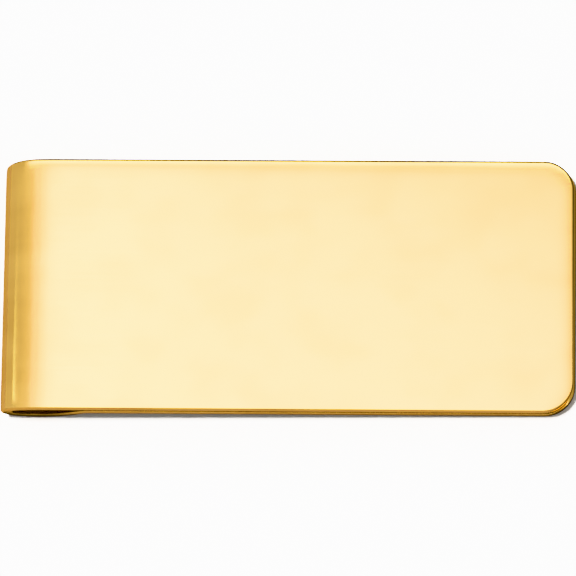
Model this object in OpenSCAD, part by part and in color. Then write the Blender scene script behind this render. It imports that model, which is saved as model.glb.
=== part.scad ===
// Money clip bent from one strip of spring-hard brass and plated with gold.
// A flat front plate rolls into a spring loop, and the loop comes back as a leg that runs
// along under the plate and clamps folded bills against it.
// The strip is divided where its work changes: the plate swings, the loop flexes, and the
// leg bears against the other side. Adjoining sections meet face to face.

/* [Strip] */
// Thickness of the sheet
strip_t = 1.0; // [0.8:0.05:1.2]
// Width of the strip, across the clip
strip_w = 22.7; // [18:0.1:26]
// Length from the heel of the loop to the mouth end of the front plate
clip_l = 50.6; // [40:0.1:60]
// Radius of the rounded corners at the mouth end, seen from above
corner_r = 2.7; // [1:0.1:6]

/* [Spring loop] */
// Height of the loop, over the outside of the strip
loop_h = 3.9; // [3.6:0.05:4.5]
// Radius where the plate starts to roll over, to the middle of the strip
shoulder_r = 7.5; // [6:0.5:9]
// Radius of the sole, under the loop, to the middle of the strip
sole_r = 6.2; // [5:0.1:6.8]

/* [Back leg] */
// Clearance between the leg and the plate
throat_gap = 0.3; // [0.2:0.05:0.4]
// Length by which the leg runs past the plate at the mouth
leg_overrun = 0.2; // [0:0.05:0.5]

/* [Hidden] */
$fn = 128;

half_t = strip_t / 2;

// The strip is drawn edge-on, with x from the heel to the mouth, y up, the plate level and
// the lowest line of the sole at y = 0. Each bend is an arc about its own centre, and the
// bends join along these directions. They are those of a 7-24-25 and a 3-4-5 triangle,
// which are short decimals, so a bend's end lies exactly on the start of the next.
up = [0, 1];
down = [0, -1];
shoulder_joint = [-7 / 25, 24 / 25];
heel_joint = [-7 / 25, -24 / 25];
ramp_joint = [3 / 5, -4 / 5];

// The heel takes what is left of the loop's height, and the throat what is left of the ramp's.
heel_r = (loop_h - strip_t - (1 - 24 / 25) * (shoulder_r + sole_r)) / (48 / 25);
throat_r = (loop_h - 2 * strip_t - throat_gap) / (1 - 4 / 5) - sole_r;

heel_c = [half_t + heel_r, half_t + sole_r - (sole_r - heel_r) * 24 / 25];
shoulder_c = heel_c + (heel_r - shoulder_r) * shoulder_joint;
sole_c = heel_c + (heel_r - sole_r) * heel_joint;
throat_c = sole_c + (sole_r + throat_r) * ramp_joint;
plate_start = shoulder_c + shoulder_r * up;
leg_start = throat_c + throat_r * up;
leg_l = clip_l + leg_overrun - leg_start[0];

// The clip lies on a table on the sole of the loop and on the lower edge of the leg's tip,
// which leaves the plate sloping down to the mouth.
sole_outer_r = sole_r + half_t;
toe = leg_start + [leg_l, -half_t];
to_toe = toe - sole_c;
lie_tilt = atan2(to_toe[1], to_toe[0]) + asin(sole_outer_r / norm(to_toe));

// Where a point of the edge-on drawing comes to lie, along and up from the table's frame
function lying_x(p) = p[0] * cos(lie_tilt) + p[1] * sin(lie_tilt);
function lying_z(p) = p[1] * cos(lie_tilt) - p[0] * sin(lie_tilt);
lie_x_min = lying_x(heel_c) - heel_r - half_t;
lie_x_max = max(lying_x([clip_l, loop_h]), lying_x(toe + strip_t * up));
lie_x_mid = (lie_x_min + lie_x_max) / 2;
lie_z_min = lying_z(sole_c) - sole_outer_r;

// Carries the clip from its level plate to the way it lies on a table.
module lying() {
    translate([-lie_x_mid, 0, -lie_z_min]) rotate([0, lie_tilt, 0]) children();
}

// Gives the edge-on drawing the strip's full width.
module full_width() {
    rotate([90, 0, 0]) translate([0, 0, -strip_w / 2]) linear_extrude(strip_w) children();
}

// One bend of the strip, drawn edge-on: the part of a ring between two joints.
module bend(centre, r, from, to) {
    reach = 2 * (r + half_t);
    translate(centre) intersection() {
        difference() {
            circle(r + half_t);
            circle(r - half_t);
        }
        polygon([[0, 0], reach * from, reach * (from + to), reach * to]);
    }
}

// Flat panel from start to the mouth, seen from above, with its two far corners rounded.
module mouth_panel(start, length) {
    straight = length - corner_r;
    flank = strip_w / 2 - corner_r;
    translate([start[0], 0, start[1] - half_t]) linear_extrude(strip_t) {
        translate([0, -strip_w / 2]) square([straight, strip_w]);
        translate([straight, -flank]) square([corner_r, 2 * flank]);
        for (side = [-1, 1]) translate([straight, side * flank]) circle(corner_r);
    }
}

// Flat show face of the clip, from the loop to the mouth.
module front_plate() {
    color([0.95, 0.80, 0.48]) lying() mouth_panel(plate_start, clip_l - plate_start[0]);
}

// The spring: shoulder, heel and the first part of the sole.
module spring_loop() {
    color([0.88, 0.68, 0.34]) lying() full_width() {
        bend(shoulder_c, shoulder_r, up, shoulder_joint);
        bend(heel_c, heel_r, shoulder_joint, heel_joint);
        bend(sole_c, sole_r, heel_joint, down);
    }
}

// The clamping leg: rest of the sole, reverse bend at the throat, flat leg.
module back_leg() {
    color([0.91, 0.74, 0.41]) lying() {
        full_width() {
            bend(sole_c, sole_r, down, ramp_joint);
            bend(throat_c, throat_r, -ramp_joint, up);
        }
        mouth_panel(leg_start, leg_l);
    }
}

front_plate();
spring_loop();
back_leg();
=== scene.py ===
"""A money clip bent from one strip, gold-plated and polished, on a pale table. Metres, in the CAD's frame."""

import math

import bpy
import numpy as np
from mathutils import Matrix, Vector


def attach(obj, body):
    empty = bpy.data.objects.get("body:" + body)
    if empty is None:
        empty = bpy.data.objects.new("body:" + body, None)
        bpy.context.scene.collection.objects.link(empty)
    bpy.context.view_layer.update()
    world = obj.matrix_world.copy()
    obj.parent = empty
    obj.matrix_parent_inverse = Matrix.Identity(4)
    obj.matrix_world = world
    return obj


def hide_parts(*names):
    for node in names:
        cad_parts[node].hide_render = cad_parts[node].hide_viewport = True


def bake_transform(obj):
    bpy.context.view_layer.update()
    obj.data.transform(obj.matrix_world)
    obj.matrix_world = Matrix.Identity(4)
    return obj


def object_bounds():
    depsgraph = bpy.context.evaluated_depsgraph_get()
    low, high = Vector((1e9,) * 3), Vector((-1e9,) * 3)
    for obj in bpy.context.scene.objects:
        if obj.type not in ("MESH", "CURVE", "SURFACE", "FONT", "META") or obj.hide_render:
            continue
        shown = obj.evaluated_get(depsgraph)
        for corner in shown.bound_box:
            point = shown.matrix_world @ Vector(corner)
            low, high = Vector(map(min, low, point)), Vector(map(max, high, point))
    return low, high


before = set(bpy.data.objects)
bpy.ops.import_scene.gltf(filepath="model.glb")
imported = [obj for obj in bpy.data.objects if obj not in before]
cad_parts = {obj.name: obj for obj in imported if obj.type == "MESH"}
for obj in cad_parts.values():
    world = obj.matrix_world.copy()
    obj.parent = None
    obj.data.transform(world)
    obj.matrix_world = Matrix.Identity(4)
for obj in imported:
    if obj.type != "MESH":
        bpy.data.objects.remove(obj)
cad_low, cad_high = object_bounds()

mm = 0.001

# ---------------------------------------------------------------- the strip's sizes, as in the CAD model
strip_t = 1.0 * mm
strip_w = cad_high.y - cad_low.y
clip_l = 50.6 * mm
loop_h = 3.9 * mm
corner_r = 2.7 * mm
throat_gap = 0.3 * mm
leg_overrun = 0.2 * mm
# The bends join along these directions, which are those of a 7-24-25 and a 3-4-5 triangle.
shoulder_sin, shoulder_cos = 7 / 25, 24 / 25
ramp_sin, ramp_cos = 3 / 5, 4 / 5
# Radii to the middle of the strip. The heel's and the throat's follow from the loop's height.
shoulder_r = 7.5 * mm
sole_r = 6.2 * mm
heel_r = (loop_h - strip_t - (1 - shoulder_cos) * (shoulder_r + sole_r)) / (2 * shoulder_cos)
throat_r = (loop_h - 2 * strip_t - throat_gap) / (1 - ramp_cos) - sole_r
half_t = strip_t / 2
half_w = strip_w / 2
shoulder_turn = math.asin(shoulder_sin)
ramp_turn = math.asin(ramp_sin)

# Where each arc is centred, x from the heel towards the mouth and z up, with the front plate level.
heel_c = Vector((half_t + heel_r, half_t + sole_r - shoulder_cos * (sole_r - heel_r)))
shoulder_c = heel_c + (shoulder_r - heel_r) * Vector((shoulder_sin, -shoulder_cos))
sole_c = heel_c + (sole_r - heel_r) * Vector((shoulder_sin, shoulder_cos))
throat_c = sole_c + (sole_r + throat_r) * Vector((ramp_sin, -ramp_cos))
plate_l = clip_l - shoulder_c.x
leg_l = clip_l + leg_overrun - throat_c.x
leg_z = throat_c.y + throat_r

# The bends in order from the front plate's mouth: length of the middle line, and how fast it turns.
BENDS = [
    (plate_l, 0.0),
    (shoulder_r * shoulder_turn, 1 / shoulder_r),
    (heel_r * (math.pi - 2 * shoulder_turn), 1 / heel_r),
    (sole_r * (shoulder_turn + ramp_turn), 1 / sole_r),
    (throat_r * ramp_turn, -1 / throat_r),
    (leg_l, 0.0),
]
# A press tool leaves no sudden change of curvature: each change is spread over this length.
EASINGS = [3.0 * mm, 0.7 * mm, 0.7 * mm, 0.6 * mm, 0.6 * mm]
strip_l = sum(length for length, turn in BENDS)
plate_seam = plate_l
leg_seam = sum(length for length, turn in BENDS[:3]) + sole_r * shoulder_turn
bend_end = strip_l - leg_l
heel_middle = plate_l + BENDS[1][0] + BENDS[2][0] / 2

# Edges: the outer face rolls off gently into a polished round, which is wider on the far edge. The inner face
# stays flat and crisp, as the cutting die leaves it. The sharp bend pulls the far edge in more than the near
# edge. The leg's tip has a lead-in on its inner face.
near_edge_r = 0.09 * mm
far_edge_r = 0.25 * mm
inner_edge_r = 0.015 * mm
roll_w = 2.5 * mm
roll_slope = math.radians(5.0)
roll_power = 4
near_pull_in = 0.05 * mm
far_pull_in = 0.45 * mm
pull_reach = 1.6 * mm
# The pull is this share in the middle of the strip's thickness, and this much more on its outer face.
pull_middle, pull_spread = 0.7, 0.3
lead_t = 0.3 * mm
lead_w = 0.7 * mm

# How finely the strip is worked out and meshed.
LINE_STEPS = 12000
SPACING_STEPS = 4000
ROLL_STEPS = 13
ROUND_STEPS = 8
widest_step = 0.9 * mm
turn_step = math.radians(2.5)


def smooth(t):
    """Eases from 0 at t = 0 to 1 at t = 1."""
    t = np.clip(t, 0.0, 1.0)
    return t * t * (3 - 2 * t)


def curvature(s):
    """How fast the strip's middle line turns at a length s from the front plate's mouth."""
    total = np.zeros_like(s)
    joint = 0.0
    for (length, turn), (_, next_turn), easing in zip(BENDS, BENDS[1:], EASINGS):
        joint += length
        total += (next_turn - turn) * smooth((s - joint) / easing + 0.5)
    return total


def middle_line():
    """The strip's middle line in small steps: length, x, z and heading, from the front plate's mouth."""
    s = np.linspace(0.0, strip_l, LINE_STEPS + 1)
    step = s[1] - s[0]
    turned = curvature((s[1:] + s[:-1]) / 2) * step
    heading = math.pi + np.concatenate([[0.0], np.cumsum(turned)])
    half_way = (heading[1:] + heading[:-1]) / 2
    x = clip_l + np.concatenate([[0.0], np.cumsum(np.cos(half_way) * step)])
    z = loop_h - half_t + np.concatenate([[0.0], np.cumsum(np.sin(half_way) * step)])
    # Easing the joints moves the far end by about a fiftieth of a millimetre. The loop takes that up.
    share = smooth((s - plate_seam) / (bend_end - plate_seam))
    x += (clip_l + leg_overrun - x[-1]) * share
    z += (leg_z - z[-1]) * share
    return s, x, z, heading


LINE = middle_line()


def lay_down():
    """The tilt and the shift that stand the clip on its sole and its leg's tip, in the CAD model's box."""
    toe = Vector((clip_l + leg_overrun, leg_z - half_t)) - sole_c
    tilt = math.atan2(toe.y, toe.x) + math.asin((sole_r + half_t) / toe.length)
    heel_x = heel_c.x * math.cos(tilt) + heel_c.y * math.sin(tilt) - heel_r - half_t
    sole_z = sole_c.y * math.cos(tilt) - sole_c.x * math.sin(tilt) - sole_r - half_t
    return tilt, cad_low.x - heel_x, cad_low.z - sole_z


tilt, shift_x, shift_z = lay_down()


def strip_points(s, y, n):
    """Points of the bent strip. s runs along it, y across it, n from its middle line to the outer face."""
    length, line_x, line_z, heading = LINE
    to_tip = np.clip((strip_l - s) / lead_w, 0.0, 1.0)
    n = n + lead_t * (1 - to_tip) ** 2 * (half_t - n) / strip_t
    h = np.interp(s, length, heading)
    x = np.interp(s, length, line_x) + n * np.sin(h)
    z = np.interp(s, length, line_z) - n * np.cos(h)
    pulled = np.exp(-(((s - heel_middle) / pull_reach) ** 2)) * (pull_middle + pull_spread * n / half_t)
    y = y * (1 - pulled * np.where(y < 0, near_pull_in, far_pull_in) / half_w)
    return np.stack(
        [
            x * math.cos(tilt) + z * math.sin(tilt) + shift_x,
            y,
            z * math.cos(tilt) - x * math.sin(tilt) + shift_z,
        ],
        axis=-1,
    )


def half_profile(round_r, slope):
    """Inset and height of half of the strip's edge, from the flat face to the side: the face rolls off to a
    slope and then goes round."""
    inset_0 = round_r * (1 - math.sin(slope))
    drop = math.tan(slope) * (roll_w - inset_0) / (roll_power + 1)
    centre = half_t - drop - round_r * math.cos(slope)
    points = []
    for u in smooth(smooth(np.arange(ROLL_STEPS) / ROLL_STEPS)):
        points.append((roll_w + (inset_0 - roll_w) * u, half_t - drop * u ** (roll_power + 1)))
    for a in np.linspace(slope, math.pi / 2, ROUND_STEPS + 1):
        points.append((round_r * (1 - math.sin(a)), centre + round_r * math.cos(a)))
    return points


def edge_profile(outer_r):
    """Inset and height all the way round an edge, from the outer flat face to the inner one."""
    lower = [(inset, -height) for inset, height in reversed(half_profile(inner_edge_r, 0.0))]
    return np.array(half_profile(outer_r, roll_slope) + lower)


NEAR_EDGE = edge_profile(near_edge_r)
FAR_EDGE = edge_profile(far_edge_r)
ACROSS = 30
DOWN = len(NEAR_EDGE) - 1
RING = 2 * (ACROSS + DOWN)
CORNER_STEPS = 24


# Where a point of the edge or of a flat face stands in a cross-section's ring of points.
def near(j):
    """The near edge, from the outer face at j = 0 to the inner face at j = DOWN."""
    return (RING - j) % RING


def far(j):
    """The far edge, counted the same way."""
    return ACROSS + j


def outer(m):
    """The outer face, from the near edge at m = 0 to the far edge at m = ACROSS."""
    return m


def inner(m):
    """The inner face, counted the same way."""
    return RING - DOWN - m


def spaced(start, end):
    """Lengths from start to end, close together where the strip bends."""
    s = np.linspace(start, end, SPACING_STEPS + 1)
    density = np.maximum(1 / widest_step, np.abs(curvature(s)) / turn_step)
    count = np.concatenate([[0.0], np.cumsum((density[1:] + density[:-1]) / 2 * (s[1] - s[0]))])
    return np.interp(np.linspace(0, count[-1], math.ceil(count[-1]) + 1), count, s)


def stations():
    """Where the cross-sections stand, as (length, angle round a corner, the corner's side), and the seams."""
    corner = [i / CORNER_STEPS * math.pi / 2 for i in range(CORNER_STEPS)]
    rows = [(corner_r, angle, -1) for angle in corner]
    seams = []
    for start, end in ((corner_r, plate_seam), (plate_seam, leg_seam), (leg_seam, strip_l - corner_r)):
        rows += [(s, math.pi / 2, 0) for s in spaced(start, end)[:-1]]
        seams.append(len(rows))
    rows.append((strip_l - corner_r, math.pi / 2, 0))
    rows += [(strip_l - corner_r, angle, 1) for angle in reversed(corner)]
    return rows, seams[0], seams[1]


def section(base, angle, way):
    """One ring of points round the strip, each as length, place across and height."""
    ring = np.zeros((RING, 3))
    for edge, place_in_ring, side in ((NEAR_EDGE, near, -1), (FAR_EDGE, far, 1)):
        inset, height = edge.T
        s = base + way * (corner_r - inset) * math.cos(angle)
        y = half_w - corner_r + (corner_r - inset) * math.sin(angle)
        for j in range(DOWN + 1):
            ring[place_in_ring(j)] = s[j], side * y[j], height[j]
    for m in range(1, ACROSS):
        t = 2 * m / ACROSS - 1
        ring[outer(m)] = s[0], t * y[0], height[0]
        ring[inner(m)] = s[-1], t * y[-1], height[-1]
    return ring


def mouth_wall(ring_start, first_new, at_start):
    """The rounded wall across the strip's end: its new points, and its faces."""
    grid = np.zeros((DOWN + 1, ACROSS + 1), int)
    grid[0] = [ring_start + outer(m) for m in range(ACROSS + 1)]
    grid[DOWN] = [ring_start + inner(m) for m in range(ACROSS + 1)]
    points = []
    for j in range(1, DOWN):
        grid[j, 0] = ring_start + near(j)
        grid[j, ACROSS] = ring_start + far(j)
        for m in range(1, ACROSS):
            grid[j, m] = first_new + len(points)
            inset, height = NEAR_EDGE[j] + (FAR_EDGE[j] - NEAR_EDGE[j]) * m / ACROSS
            s = inset if at_start else strip_l - inset
            points.append((s, (half_w - corner_r) * (2 * m / ACROSS - 1), height))
    faces = []
    for j in range(DOWN):
        for m in range(ACROSS):
            face = [grid[j, m], grid[j, m + 1], grid[j + 1, m + 1], grid[j + 1, m]]
            faces.append(face[::-1] if at_start else face)
    return points, faces


def seam_cap(ring_start, faces_back):
    """The flat face where one piece of the strip meets the next."""
    quads = [(outer(m), outer(m + 1), inner(m + 1), inner(m)) for m in range(ACROSS)]
    for j in range(DOWN // 2):
        quads.append((far(j), far(j + 1), far(DOWN - j - 1), far(DOWN - j)))
        quads.append((near(j + 1), near(j), near(DOWN - j), near(DOWN - j - 1)))
    faces = [[ring_start + i for i in quad] for quad in quads]
    return [face[::-1] for face in faces] if faces_back else faces


def whole_strip():
    """Every point of the strip in strip coordinates, and the faces of its three stretches."""
    rows, plate_end, leg_start = stations()
    points = [section(*row) for row in rows]
    tube = []
    for k in range(len(rows) - 1):
        a, b = k * RING, (k + 1) * RING
        ring_faces = []
        for i in range(RING):
            after = (i + 1) % RING
            ring_faces.append([a + i, a + after, b + after, b + i])
        tube.append(ring_faces)
    count = len(rows) * RING
    last = (len(rows) - 1) * RING
    start_points, start_faces = mouth_wall(0, count, True)
    end_points, end_faces = mouth_wall(last, count + len(start_points), False)
    points += [np.array(start_points), np.array(end_points)]
    stretches = {
        "front_plate": start_faces + sum(tube[:plate_end], []),
        "spring_loop": sum(tube[plate_end:leg_start], []),
        "back_leg": sum(tube[leg_start:], []) + end_faces,
    }
    caps = {
        "front_plate": seam_cap(plate_end * RING, False),
        "spring_loop": seam_cap(plate_end * RING, True) + seam_cap(leg_start * RING, False),
        "back_leg": seam_cap(leg_start * RING, True),
    }
    return np.concatenate(points), stretches, caps


def strip_normals(places, faces):
    """The surface's direction at every point of the whole strip, so that no seam shows between its pieces."""
    mesh = bpy.data.meshes.new("whole")
    mesh.from_pydata(places.tolist(), [], faces)
    normals = np.zeros(len(places) * 3, np.float32)
    mesh.vertex_normals.foreach_get("vector", normals)
    bpy.data.meshes.remove(mesh)
    return normals.reshape(-1, 3)


def make_piece(name, strip, places, normals, surface, caps, material):
    """One closed piece of the strip, with the whole strip's normals, and its strip coordinates in mm."""
    faces = surface + caps
    used = sorted({i for face in faces for i in face})
    number = {old: new for new, old in enumerate(used)}
    mesh = bpy.data.meshes.new(name)
    mesh.from_pydata(places[used].tolist(), [], [[number[i] for i in face] for face in faces])
    mesh.polygons.foreach_set("use_smooth", [True] * len(faces))
    corner_normals = []
    for face in surface:
        corner_normals += [normals[i] for i in face]
    for polygon in list(mesh.polygons)[len(surface):]:
        corner_normals += [polygon.normal[:]] * len(polygon.vertices)
    mesh.normals_split_custom_set([tuple(map(float, n)) for n in corner_normals])
    along = mesh.attributes.new("strip_mm", "FLOAT_VECTOR", "POINT")
    along.data.foreach_set("vector", (strip[used] / mm).astype(np.float32).ravel())
    mesh.materials.append(material)
    piece = bpy.data.objects.new(name, mesh)
    bpy.context.scene.collection.objects.link(piece)
    return piece


def link(tree, *pairs):
    """Joins node sockets in a tree, given as (from, to) pairs."""
    for start, end in pairs:
        tree.links.new(start, end)


def math_node(tree, operation, a, b):
    """A Math node with its first two inputs set to numbers or joined to sockets."""
    node = tree.nodes.new("ShaderNodeMath")
    node.operation = operation
    for socket, value in zip(node.inputs, (a, b)):
        if isinstance(value, (int, float)):
            socket.default_value = value
        else:
            tree.links.new(value, socket)
    return node.outputs[0]


def eased(tree, value, start, end, least=0.0):
    """Eases from least where the value is start to 1 where it is end."""
    node = tree.nodes.new("ShaderNodeMapRange")
    node.interpolation_type = "SMOOTHSTEP"
    node.inputs["From Min"].default_value = start
    node.inputs["From Max"].default_value = end
    node.inputs["To Min"].default_value = least
    link(tree, (value, node.inputs["Value"]))
    return node.outputs[0]


def strip_noise(tree, place, stretch, detail=2.0):
    """Noise in strip coordinates, so many per millimetre along, across and through the strip."""
    mapping = tree.nodes.new("ShaderNodeMapping")
    mapping.inputs["Scale"].default_value = stretch
    noise = tree.nodes.new("ShaderNodeTexNoise")
    noise.inputs["Scale"].default_value = 1.0
    noise.inputs["Detail"].default_value = detail
    link(tree, (place, mapping.inputs["Vector"]), (mapping.outputs[0], noise.inputs["Vector"]))
    return noise.outputs["Fac"]


def gold_material():
    """Polished gold plate: fine polishing lines along the strip and the slow waves of a pressed sheet."""
    material = bpy.data.materials.new("gold_plate")
    material.use_nodes = True
    tree = material.node_tree
    shader = tree.nodes["Principled BSDF"]
    shader.inputs["Metallic"].default_value = 1.0
    shader.inputs["Specular Tint"].default_value = (1.0, 0.80, 0.45, 1.0)
    place = tree.nodes.new("ShaderNodeAttribute")
    place.attribute_name = "strip_mm"
    vector = place.outputs["Vector"]
    lines = strip_noise(tree, vector, (0.12, 9.0, 9.0), 3.0)
    waves = strip_noise(tree, vector, (0.11, 0.16, 0.16), 1.0)
    haze = strip_noise(tree, vector, (0.16, 0.21, 0.21), 2.0)
    colour = tree.nodes.new("ShaderNodeMix")
    colour.data_type = "RGBA"
    colour.inputs["A"].default_value = (0.90, 0.618, 0.174, 1.0)
    colour.inputs["B"].default_value = (1.0, 0.705, 0.205, 1.0)
    link(
        tree,
        (eased(tree, haze, 0.3, 0.6), colour.inputs["Factor"]),
        (colour.outputs["Result"], shader.inputs["Base Color"]),
    )
    split = tree.nodes.new("ShaderNodeSeparateXYZ")
    link(tree, (vector, split.inputs[0]))
    grain = strip_noise(tree, vector, (1.6, 0.35, 0.35), 3.0)
    bend_grain = math_node(
        tree, "MULTIPLY", grain, eased(tree, split.outputs["X"], plate_l / mm - 1.0, plate_l / mm + 1.0)
    )
    rough = tree.nodes.new("ShaderNodeMapRange")
    rough.inputs["To Min"].default_value = 0.11
    rough.inputs["To Max"].default_value = 0.19
    link(tree, (lines, rough.inputs["Value"]), (rough.outputs[0], shader.inputs["Roughness"]))
    line_bump = tree.nodes.new("ShaderNodeBump")
    line_bump.inputs["Distance"].default_value = 0.0006 * mm
    wave_bump = tree.nodes.new("ShaderNodeBump")
    wave_bump.inputs["Distance"].default_value = 0.02 * mm
    grain_bump = tree.nodes.new("ShaderNodeBump")
    grain_bump.inputs["Distance"].default_value = 0.006 * mm
    link(
        tree,
        (waves, wave_bump.inputs["Height"]),
        (bend_grain, grain_bump.inputs["Height"]),
        (lines, line_bump.inputs["Height"]),
        (wave_bump.outputs[0], grain_bump.inputs["Normal"]),
        (grain_bump.outputs[0], line_bump.inputs["Normal"]),
        (line_bump.outputs[0], shader.inputs["Normal"]),
    )
    return material


def card_material(name, colour):
    """Matt card with a fine grain."""
    material = bpy.data.materials.new(name)
    material.use_nodes = True
    tree = material.node_tree
    shader = tree.nodes["Principled BSDF"]
    shader.inputs["Roughness"].default_value = 0.9
    shader.inputs["Specular IOR Level"].default_value = 0.2
    grain = tree.nodes.new("ShaderNodeTexNoise")
    grain.inputs["Scale"].default_value = 900.0
    shade = tree.nodes.new("ShaderNodeMix")
    shade.data_type = "RGBA"
    shade.inputs["A"].default_value = [0.98 * value for value in colour] + [1.0]
    shade.inputs["B"].default_value = [1.02 * value for value in colour] + [1.0]
    place = tree.nodes.new("ShaderNodeTexCoord")
    link(
        tree,
        (place.outputs["Object"], grain.inputs["Vector"]),
        (grain.outputs["Fac"], shade.inputs["Factor"]),
        (shade.outputs["Result"], shader.inputs["Base Color"]),
    )
    return material


def make_card(name, colour, corners, height):
    """A level card, which casts no shadow."""
    mesh = bpy.data.meshes.new(name)
    mesh.from_pydata([(x, y, height) for x, y in corners], [], [range(len(corners))])
    mesh.materials.append(card_material(name, colour))
    card = bpy.data.objects.new(name, mesh)
    bpy.context.scene.collection.objects.link(card)
    card.visible_shadow = False
    return card


def make_floor():
    """The white table top that the clip lies on, and right under it the grey card that the gold mirrors
    instead. The grey card lies only in front and on the left, so that the other edges mirror the dark."""
    end = 0.6
    margin = 1.5 * mm
    # In front the grey card stops short of the near edge, most at the sole and less along the leg, so that
    # the near sides there mirror the dark room: painted shade, standing in for the table's contact shadow in
    # their reflection.
    sole_margin = 0.42 * mm
    leg_margin = 0.2 * mm
    sole_w = 8 * mm
    square = [(-end, -end), (end, -end), (end, end), (-end, end)]
    bracket = [
        (-end, -end),
        (cad_high.x + margin, -end),
        (cad_high.x + margin, cad_low.y),
        (cad_low.x + sole_w, cad_low.y - leg_margin),
        (cad_low.x, cad_low.y - sole_margin),
        (cad_low.x, cad_high.y + margin),
        (-end, end),
    ]
    table_top = make_card("table_top", (0.81, 0.81, 0.81), square, cad_low.z)
    table_top.visible_glossy = False
    mirrored_top = make_card("mirrored_top", (0.19, 0.155, 0.155), bracket, cad_low.z - 0.01 * mm)
    mirrored_top.visible_camera = False
    mirrored_top.visible_diffuse = False


def area_light(name, place, aim, size):
    """A rectangular softbox at place, facing aim, of radiance 1 before its face's own pattern."""
    data = bpy.data.lights.new(name, "AREA")
    data.shape = "RECTANGLE"
    data.size, data.size_y = size
    data.energy = math.pi * size[0] * size[1]
    lamp = bpy.data.objects.new(name, data)
    bpy.context.scene.collection.objects.link(lamp)
    lamp.location = place
    lamp.rotation_mode = "QUATERNION"
    lamp.rotation_quaternion = (Vector(aim) - Vector(place)).to_track_quat("-Z", "Y")
    lamp.visible_camera = False
    lamp.visible_diffuse = False
    return lamp


def soft_face(lamp, radiance, ramps):
    """The light of a softbox's face, warmer where its cloth is dimmer. Each ramp is a direction over the face
    in degrees, where it is dark and where it is full, and the share of light that is left at the dark end."""
    lamp.data.use_nodes = True
    tree = lamp.data.node_tree
    geometry = tree.nodes.new("ShaderNodeNewGeometry")
    share = 1.0
    for degrees, dark_at, full_at, least in ramps:
        across = tree.nodes.new("ShaderNodeVectorMath")
        across.operation = "DOT_PRODUCT"
        turned = math.radians(degrees)
        across.inputs[1].default_value = (math.cos(turned), math.sin(turned), 0.0)
        link(tree, (geometry.outputs["Parametric"], across.inputs[0]))
        ramp = eased(tree, across.outputs["Value"], dark_at, full_at, least)
        share = math_node(tree, "MULTIPLY", share, ramp)
    tint = tree.nodes.new("ShaderNodeMix")
    tint.data_type = "RGBA"
    tint.inputs["A"].default_value = (1.0, 0.88, 1.0, 1.0)
    tint.inputs["B"].default_value = (1.0, 1.18, 0.95, 1.0)
    emission = tree.nodes["Emission"]
    link(
        tree,
        (share, tint.inputs["Factor"]),
        (tint.outputs["Result"], emission.inputs["Color"]),
        (math_node(tree, "MULTIPLY", share, radiance), emission.inputs["Strength"]),
    )


def make_lights():
    """An overhead softbox, one behind, a slim one on the left, lights for the card only, and a dim room."""
    overhead = area_light("overhead", (0.0, 0.02, 0.25), (0.0, 0.02, 0.0), (0.24, 0.30))
    soft_face(
        overhead,
        7.3,
        [
            (0, 0.10, 0.21, 0.0),
            (0, 0.275, 0.39, 0.2),
            (0, 0.43, 0.385, 0.74),
            (0, 0.89, 0.50, 0.3),
            (0, 0.92, 0.64, 0.1),
            (79, 0.84, 0.71, 0.15),
            (90, 0.25, 0.38, 0.0),
        ],
    )
    behind = area_light("behind", (0.0, 0.128, 0.24), (0.0, 0.0, 0.0), (0.30, 0.05))
    soft_face(behind, 5.0, [(0, 0.0, 0.2, 0.0), (0, 1.0, 0.8, 0.0)])
    slim = area_light("slim", (-0.189, 0.045, 0.243), (-0.024, -0.007, 0.003), (0.014, 0.07))
    soft_face(slim, 2.0, [(90, 1.0, 0.3, 0.0)])
    card_light("key", 11.0, 9, (-4, -14))
    card_light("fill", 1.5, 150, (0, 0))
    make_room()


def card_light(name, energy, spread, lean):
    """A light for the card only, which the metal doesn't mirror. Its spread and its lean are in degrees."""
    data = bpy.data.lights.new(name, "SUN")
    data.energy = energy
    data.angle = math.radians(spread)
    lamp = bpy.data.objects.new(name, data)
    bpy.context.scene.collection.objects.link(lamp)
    lamp.rotation_euler = (math.radians(lean[0]), math.radians(lean[1]), 0)
    lamp.visible_glossy = False


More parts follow.
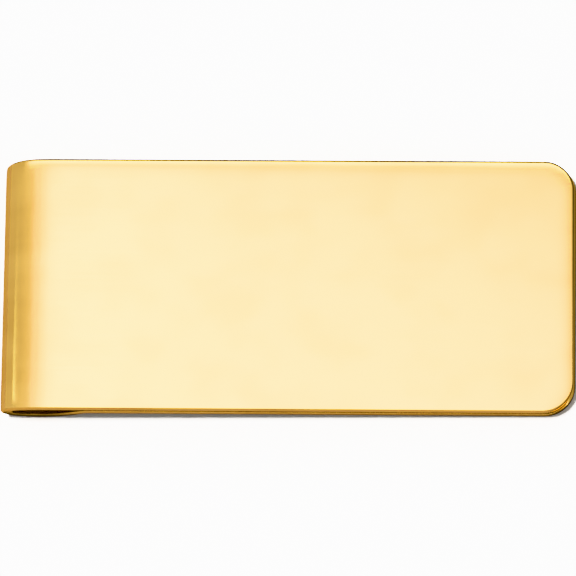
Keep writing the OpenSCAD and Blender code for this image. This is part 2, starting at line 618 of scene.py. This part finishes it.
def make_room():
    """The dim, warm room: brightest overhead and on the left, and dark low down at the right and behind."""
    world = bpy.data.worlds.new("studio")
    world.use_nodes = True
    bpy.context.scene.world = world
    tree = world.node_tree
    background = tree.nodes["Background"]
    background.inputs["Color"].default_value = (1.0, 0.88, 0.84, 1.0)
    world.cycles_visibility.diffuse = False
    place = tree.nodes.new("ShaderNodeTexCoord")
    split = tree.nodes.new("ShaderNodeSeparateXYZ")
    link(tree, (place.outputs["Generated"], split.inputs[0]))
    x, y, z = split.outputs
    left = math_node(tree, "MULTIPLY", eased(tree, x, 0.0, -0.3), 0.70)
    front = math_node(tree, "MULTIPLY", eased(tree, y, 0.2, -0.3), 0.55)
    sides = math_node(tree, "MULTIPLY", math_node(tree, "MAXIMUM", left, front), eased(tree, z, -0.2, 0.0))
    high = math_node(tree, "MULTIPLY", eased(tree, z, 0.1, 0.6, 0.12), 0.50)
    overhead = math_node(tree, "MULTIPLY", eased(tree, z, 0.8, 0.97), 0.26)
    level = math_node(tree, "MAXIMUM", sides, high)
    link(tree, (math_node(tree, "ADD", level, overhead), background.inputs["Strength"]))


def make_camera():
    """The photograph's view: almost overhead, from the near side and a little right, by a long lens."""
    elevation, azimuth, roll = math.radians(76.015), math.radians(17.956), math.radians(0.911)
    distance = 0.6
    target = Vector((-0.049, -0.102, 2.0)) * mm
    back = Vector(
        (
            math.cos(elevation) * math.sin(azimuth),
            -math.cos(elevation) * math.cos(azimuth),
            math.sin(elevation),
        )
    )
    right = Vector((0, 1, 0)).cross(back).normalized()
    up = back.cross(right)
    level = Matrix((right, up, back)).transposed()
    camera = bpy.data.objects.new("camera", bpy.data.cameras.new("camera"))
    camera.data.sensor_width = 36.0
    camera.data.lens = 423.554
    camera.data.clip_start = 0.01
    camera.data.clip_end = 10.0
    camera.matrix_world = (
        Matrix.Translation(target + back * distance)
        @ level.to_4x4()
        @ Matrix.Rotation(roll, 4, "Z")
    )
    bpy.context.scene.collection.objects.link(camera)
    bpy.context.scene.camera = camera


gold = gold_material()
strip, stretches, caps = whole_strip()
places = strip_points(strip[:, 0], strip[:, 1], strip[:, 2])
places[:, 2] += cad_low.z - places[:, 2].min()
normals = strip_normals(places, sum(stretches.values(), []))
for node, surface in stretches.items():
    piece = make_piece(node + "_gold", strip, places, normals, surface, caps[node], gold)
    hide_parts(node)
    if node == "front_plate":
        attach(piece, "plate")
    elif node == "back_leg":
        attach(piece, "leg")
    else:
        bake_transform(piece)

make_floor()
make_lights()
make_camera()
bpy.context.scene.view_settings.view_transform = "Khronos PBR Neutral"
